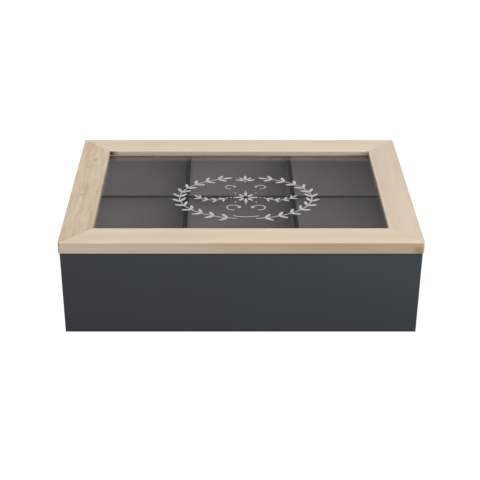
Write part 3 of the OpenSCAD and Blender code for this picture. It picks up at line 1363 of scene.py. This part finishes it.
@dataclass
class Glazing:
    """The pane with its printed ornament, and the steel that holds the lid together."""

    arris: float = 0.3 * MM
    ink_t: float = 0.05 * MM
    ink_sunk: float = 0.01 * MM
    line: float = 0.8 * MM
    centre: Pair = (4 * MM, -9 * MM)
    line_sides: int = 120
    leaf_sides: int = 14
    leaf_lean: float = 0.75
    leaf_shape: float = 0.34
    leaf_away: float = 0.55
    first_pair: float = 0.6
    curls: tuple[tuple[float, Pair], ...] = ((4.4 * MM, (9 * MM, -16 * MM)), (3.4 * MM, (11 * MM, 17 * MM)))
    crown_y: float = 26 * MM
    crown_dot: float = 1.6 * MM
    crown_shape: float = 0.3
    crown_away: float = 0.75
    crown: tuple[Pair, ...] = ((20, 6 * MM), (55, 6 * MM), (90, 7.5 * MM), (125, 6 * MM), (160, 6 * MM))
    rosette: tuple[Pair, Pair] = ((5.4 * MM, 7 * MM), (4.4 * MM, 5 * MM))
    petals: int = 8
    petal_w: float = 2.1 * MM
    dots_r: float = 10.4 * MM
    dot: float = 1.3 * MM

    def build(self) -> None:
        """Models and dresses the glass, what is on it and the fasteners."""
        pane = soften(block("glass_pane_float", *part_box("glass_pane")), self.arris)
        dress(pane, FloatGlass().material(), Body.LID, Slot.GLASS, ["glass_pane"])
        dress(self._ornament(), ScreenInk().material(), Body.LID, Slot.GLASS)
        steel = PlatedSteel("zinc_strip", "#b9bcc0", "#95989c", 0.4).material()
        for name in ("glazing_points", "corner_fasteners"):
            coat(bpy.data.objects[name], steel)
            log.info("node %s finished as %s", name, steel.name)

    def _ornament(self) -> Object:
        """Draws an open wreath of two leafy twigs round a rosette, with curls, a crown and a stroke.

        Returns:
            The print as one piece, on the glass.
        """
        under = Arc((10 * MM, 3.2 * MM), 205, 335, (0, -27 * MM))
        parts = [*self._crown(), *self._rosette(), self._stroke(under)]
        for way in (0, math.pi):
            side = self._twig(Arc((47 * MM, 33 * MM), -82, 70), 12, 6.8 * MM)
            side += self._twig(Arc((12 * MM, 8 * MM), -150, -30, (23 * MM, 4 * MM)), 4, 4.6 * MM)
            for radius, spot in self.curls:
                curl = Arc((radius, 0.85 * radius), -100, 170, spot)
                side += [self._stroke(curl), self._dot(curl.at(1.0), 0.6 * radius)]
            parts += [moved(part, Matrix.Rotation(way, 4, "Y")) for part in side]
        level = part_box("glass_pane")[1].z + (self.ink_t - self.ink_sunk) / 2
        return moved(join("glass_ornament_print", parts), Matrix.Translation((*self.centre, level)))

    def _crown(self) -> list[Object]:
        """Draws a fan of five leaves over a dot, the middle leaf the longest.

        Returns:
            Its parts.
        """
        parts = [self._dot(Vector((0, self.crown_y, 0)), self.crown_dot)]
        for degrees, length in self.crown:
            turn = math.radians(degrees)
            spot = Vector((0, self.crown_y + MM, 0)) + self.crown_away * length * toward(turn)
            parts.append(self._leaf(spot, turn, length, self.crown_shape * length))
        return parts

    def _rosette(self) -> list[Object]:
        """Draws eight petals, long and short by turns, each with a dot beyond it.

        Returns:
            Their parts.
        """
        parts = []
        for step in range(self.petals):
            turn = step * math.tau / self.petals
            away, long = self.rosette[step % 2]
            parts.append(self._leaf(toward(turn) * away, turn, long, self.petal_w))
            parts.append(self._dot(toward(turn) * self.dots_r, self.dot))
        return parts

    def _twig(self, stem: Arc, pairs: int, length: float) -> list[Object]:
        """Draws a stem with pairs of leaves that lean forward, and a leaf at its end.

        Args:
            stem: The arc that the stem follows.
            pairs: The number of pairs.
            length: A leaf's length.

        Returns:
            The twig's parts.
        """
        width = self.leaf_shape * length
        tip = stem.heading(1.0)
        parts = [self._stroke(stem), self._leaf(stem.at(1.0) + toward(tip) * length / 2, tip, length, width)]
        for step in range(pairs):
            share = (step + self.first_pair) / pairs
            for lean in (-self.leaf_lean, self.leaf_lean):
                turn = stem.heading(share) + lean
                spot = stem.at(share) + toward(turn) * length * self.leaf_away
                parts.append(self._leaf(spot, turn, length, width))
        return parts

    def _stroke(self, arc: Arc) -> Object:
        """Draws a line of ink along an arc.

        Args:
            arc: The arc.

        Returns:
            The line, as thick as the ink.
        """
        circle = {"vertices": self.line_sides, "radius": 1, "rotation": (0, 0, math.radians(arc.start))}
        line = primitive("line", bpy.ops.mesh.primitive_circle_add, **circle)

        def beyond(edge: Edge) -> bool:
            """Says if an edge of the circle lies past the arc's end."""
            middle = edge.verts[0].co + edge.verts[1].co
            return (math.degrees(math.atan2(middle.y, middle.x)) - arc.start) % 360 > arc.end - arc.start

        with editing(line, beyond, Pick.EDGE):
            bpy.ops.mesh.delete(type="EDGE")
            bpy.ops.mesh.select_all(action="SELECT")
            bpy.ops.mesh.delete_loose(use_verts=True, use_edges=False, use_faces=False)
        moved(line, Matrix.Translation((*arc.centre, 0)) @ Matrix.Diagonal((*arc.radii, 1, 1)))
        bpy.ops.object.convert(target="CURVE")
        curve = bpy.context.object.data
        curve.bevel_depth = self.line / 2
        curve.bevel_resolution = 2
        curve.use_fill_caps = True
        bpy.ops.object.convert(target="MESH")
        thick = self.ink_t + self.ink_sunk
        return moved(weld(bpy.context.object), Matrix.Diagonal((1, 1, thick / self.line, 1)))

    def _leaf(self, at: Vector, turn: float, length: float, width: float) -> Object:
        """Draws one oval leaf.

        Args:
            at: Its middle.
            turn: The way that it points.
            length: Its length.
            width: Its width.

        Returns:
            The leaf, as thick as the ink.
        """
        oval = {"vertices": self.leaf_sides, "radius": 0.5, "depth": self.ink_t + self.ink_sunk}
        leaf = primitive("leaf", bpy.ops.mesh.primitive_cylinder_add, **oval)
        size = Matrix.Diagonal((length, width, 1, 1))
        return moved(leaf, Matrix.Translation(at) @ Matrix.Rotation(turn, 4, "Z") @ size)

    def _dot(self, at: Vector, size: float) -> Object:
        """Draws one round dot."""
        return self._leaf(at, 0, size, size)


# ---- the box


@dataclass
class PaintedBox:
    """Walls, base and half-lapped dividers of painted fibreboard."""

    hinges: Hinges
    lap: float = 3 * MM
    corner_r: float = 0.8 * MM
    board_ease: float = 0.4 * MM
    joint_ease: float = 0.1 * MM
    base_ease: float = 0.25 * MM
    fit: float = 0.1 * MM
    housing: float = 2 * MM
    outer: Vector = field(init=False)
    inner: Vector = field(init=False)
    base_t: float = field(init=False)
    cross: dict[str, float] = field(default_factory=dict)

    def __post_init__(self) -> None:
        """Takes the box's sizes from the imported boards."""
        rear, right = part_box("rear_wall"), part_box("right_wall")
        self.outer = Vector((right[1].x, rear[1].y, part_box("front_wall")[1].z))
        self.inner = Vector((right[0].x, rear[0].y, 0))
        self.base_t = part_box("base_panel")[1].z
        for name in ("cross_divider_left", "cross_divider_right"):
            low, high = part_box(name)
            self.cross[name] = (low.x + high.x) / 2

    def build(self) -> None:
        """Models and dresses every board."""
        paint = SprayedPaint().material()
        half_turn = Matrix.Rotation(math.pi, 4, "Z")
        front = self._long_wall("front_wall_painted")
        rear = twin(front, "rear_wall_painted", half_turn)
        left = self._side_wall("left_wall_painted")
        right = twin(left, "right_wall_painted", half_turn)
        for wall in (front, rear, left, right):
            cut(wall, self._housings(self.fit if wall in (left, right) else 0.0))
            if wall is rear:
                cut(wall, self.hinges.room(Body.BOX))
            dress(smooth(wall), paint, Body.BOX, Slot.BODY_PAINT, [wall.name.removesuffix("_painted")])
        base = soften(block("base_panel_painted", *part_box("base_panel")), self.base_ease)
        pale = SprayedPaint("sprayed_base_paint", inside="#d4d1d2", inside_low="#d4d1d2").material()
        dress(smooth(base), pale, Body.BOX, Slot.BODY_PAINT, ["base_panel"])
        self._dividers()

    def _long_wall(self, name: str) -> Object:
        """Models the front wall, with a lap at each end over the side walls.

        Args:
            name: The wall's name.

        Returns:
            The wall.
        """
        out, lap_y = self.outer, self.lap - self.outer.y
        wall = block(name, (-out.x, -out.y, 0), (out.x, lap_y, out.z))
        for x in (-self.inner.x, self.inner.x):
            bisect(wall, (x, 0, 0), (1, 0, 0), trim=False)
        inward = (0, -self.inner.y - lap_y, 0)
        push(wall, inward, lambda f: f.normal.y > FACING and abs(f.calc_center_median().x) < self.inner.x)

        def end(edge: Edge) -> bool:
            """Says if an edge is an upright one at the wall's ends."""
            return upright(edge) and abs(abs(edge.verts[0].co.x) - out.x) < NEAR

        def outside(edge: Edge) -> bool:
            """Says if an edge runs round the wall's outer face."""
            level = all(v.co.y < lap_y - self.joint_ease + NEAR for v in edge.verts)
            return level and any(abs(f.normal.z) < LEANING for f in edge.link_faces)

        ease(wall, self.corner_r, ROUNDED, lambda e: end(e) and lies(e, y=-out.y))
        ease(wall, self.joint_ease, BROKEN, lambda e: end(e) and lies(e, y=lap_y))
        for z in (0.0, out.z):
            ease(wall, self.board_ease, EASED, lambda e: lies(e, z=z) and outside(e))
            ease(wall, self.board_ease, EASED, lambda e: lies(e, z=z, y=-self.inner.y))
        return wall

    def _side_wall(self, name: str) -> Object:
        """Models the left wall, which stands between the laps.

        Args:
            name: The wall's name.

        Returns:
            The wall.
        """
        out, end = self.outer, self.outer.y - self.lap
        wall = block(name, (-out.x, -end, 0), (-self.inner.x, end, out.z))
        for x in (-out.x, -self.inner.x):
            for z in (0.0, out.z):
                ease(wall, self.board_ease, EASED, lambda e: lies(e, x=x, z=z))
        ease(wall, self.joint_ease, BROKEN, lambda e: any(lies(e, x=-out.x, y=y) for y in (-end, end)))
        return wall

    def _housings(self, past: float) -> list[Object]:
        """Makes the cutters for the base panel's rabbet and the dividers' grooves in the walls.

        Args:
            past: How far the rabbet runs past the base panel at the front and the rear, which
                leaves a side wall's ends open.

        Returns:
            The cutters, in place.
        """
        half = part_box("long_divider")[1].y + self.fit
        reach, low, high = self.inner + Vector((self.housing, self.housing, 0)), self.base_t, 2 * self.outer.z
        room = self.inner + Vector((self.lap, self.lap + past, low))
        tools = [
            block("rabbet", -room, room),
            block("groove", (-reach.x, -half, low), (reach.x, half, high)),
        ]
        for x in self.cross.values():
            tools.append(block("groove", (x - half, -reach.y, low), (x + half, reach.y, high)))
        return tools

    def _dividers(self) -> None:
        """Models the grid: the long board slotted from above, the cross boards from below."""
        # Painted light: the dividers' faces grow paler low down for the bounce off the base.
        tones = {"inside": "#646162", "inside_low": "#d6d1d3"}
        paint = SprayedPaint("sprayed_divider_paint", **tones, all_inside=True, gloss=0.1).material()
        low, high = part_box("long_divider")
        half, middle_z = high.y + self.fit, (low.z + high.z) / 2
        upper, lower = (middle_z, 2 * high.z), (-high.z, middle_z)

        def slot(x: float, span: Pair) -> Object:
            """Makes the cutter for a slot about x, over a span in height."""
            return block("slot", (x - half, -half, span[0]), (x + half, half, span[1]))

        slots = {name: [slot(x, lower)] for name, x in self.cross.items()}
        slots["long_divider"] = [slot(x, upper) for x in self.cross.values()]
        for name, tools in slots.items():
            board = cut(self._board(name), tools)
            dress(smooth(board), paint, Body.BOX, Slot.DIVIDER_PAINT, [name])

    def _board(self, node: str) -> Object:
        """Models a divider with its four long edges eased.

        Args:
            node: The divider's node.

        Returns:
            The divider.
        """
        low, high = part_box(node)
        board = block(node + "_painted", low, high)
        ease(board, self.board_ease, EASED, lambda e: e.calc_length() > max(high - low) - NEAR)
        return board


# ---- the stage


@dataclass(frozen=True)
class Softbox:
    """A square softbox that looks at the box."""

    name: str
    at: tuple[float, float, float]
    size: float
    watts: float

    def hang(self) -> None:
        """Adds the lamp, which lights the box and isn't seen itself."""
        data = bpy.data.lights.new(self.name, "AREA")
        data.size = self.size
        data.energy = self.watts
        lamp = bpy.data.objects.new(self.name, data)
        lamp.visible_camera = lamp.visible_glossy = lamp.visible_transmission = False
        bpy.context.scene.collection.objects.link(lamp)
        lamp.location = self.at
        lamp.rotation_euler = (-Vector(self.at)).to_track_quat("-Z", "Y").to_euler()


@dataclass
class Studio:
    """Floor, flag, lamps, world and camera."""

    pitch: float = 29.19
    camera_at: tuple[float, float, float] = (-9.3 * MM, -739.9 * MM, 422.5 * MM)
    lens: float = 85.69
    sensor: float = 36.0
    shift: Pair = (0.02703, 0.04184)
    sky: float = 0.26
    floor_r: float = 6.0
    flag_low: tuple[float, float, float] = (-0.4, 1.6, 0.62)
    flag_high: tuple[float, float, float] = (0.4, 1.61, 1.1)
    lamps: tuple[Softbox, ...] = (
        Softbox("key", (0.35, -1.3, 1.0), 1.1, 10.6),
        Softbox("top", (-0.1, 0.1, 1.5), 1.2, 9.1),
        Softbox("side", (0.6, -0.5, 0.3), 0.3, 2.8),
        Softbox("back", (-0.5, 1.3, 0.8), 1.0, 5.0),
    )

    def build(self) -> None:
        """Sets up everything that isn't the object."""
        self._camera()
        circle = {"vertices": 64, "radius": self.floor_r, "fill_type": "NGON"}
        floor = primitive("studio_floor", bpy.ops.mesh.primitive_circle_add, **circle)
        flag = block("studio_flag", self.flag_low, self.flag_high)
        for obj, finish in ((floor, WhiteSweep()), (flag, GreyFlag())):
            coat(obj, finish.material())
        self._world()
        for softbox in self.lamps:
            softbox.hang()
        bpy.context.scene.view_settings.view_transform = "Standard"

    def _camera(self) -> None:
        """Puts the camera at its place before the box."""
        data = bpy.data.cameras.new("camera")
        data.lens = self.lens
        data.sensor_width = self.sensor
        data.shift_x, data.shift_y = self.shift
        camera = bpy.data.objects.new("camera", data)
        bpy.context.scene.collection.objects.link(camera)
        camera.location = self.camera_at
        camera.rotation_euler = (math.radians(90 - self.pitch), 0, 0)
        bpy.context.scene.camera = camera

    def _world(self) -> None:
        """Makes an even sky that is white where it shows."""
        world = bpy.data.worlds.new("studio")
        bpy.context.scene.world = world
        world.use_nodes = True
        world.node_tree.nodes.clear()
        add = partial(add_node, world.node_tree)
        light, shown = add("Background", (WHITE, self.sky)), add("Background", (WHITE, 1.0))
        add("OutputWorld", (add("MixShader", (shown_rays(add), light, shown)),))


def main() -> None:
    """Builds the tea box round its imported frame."""
    logging.basicConfig(level=logging.INFO, format="%(message)s")
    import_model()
    Studio().build()
    hinges = Hinges()
    PaintedBox(hinges).build()
    LidFrame(hinges).build()
    Glazing().build()
    hinges.build()


if __name__ == "__main__":
    main()
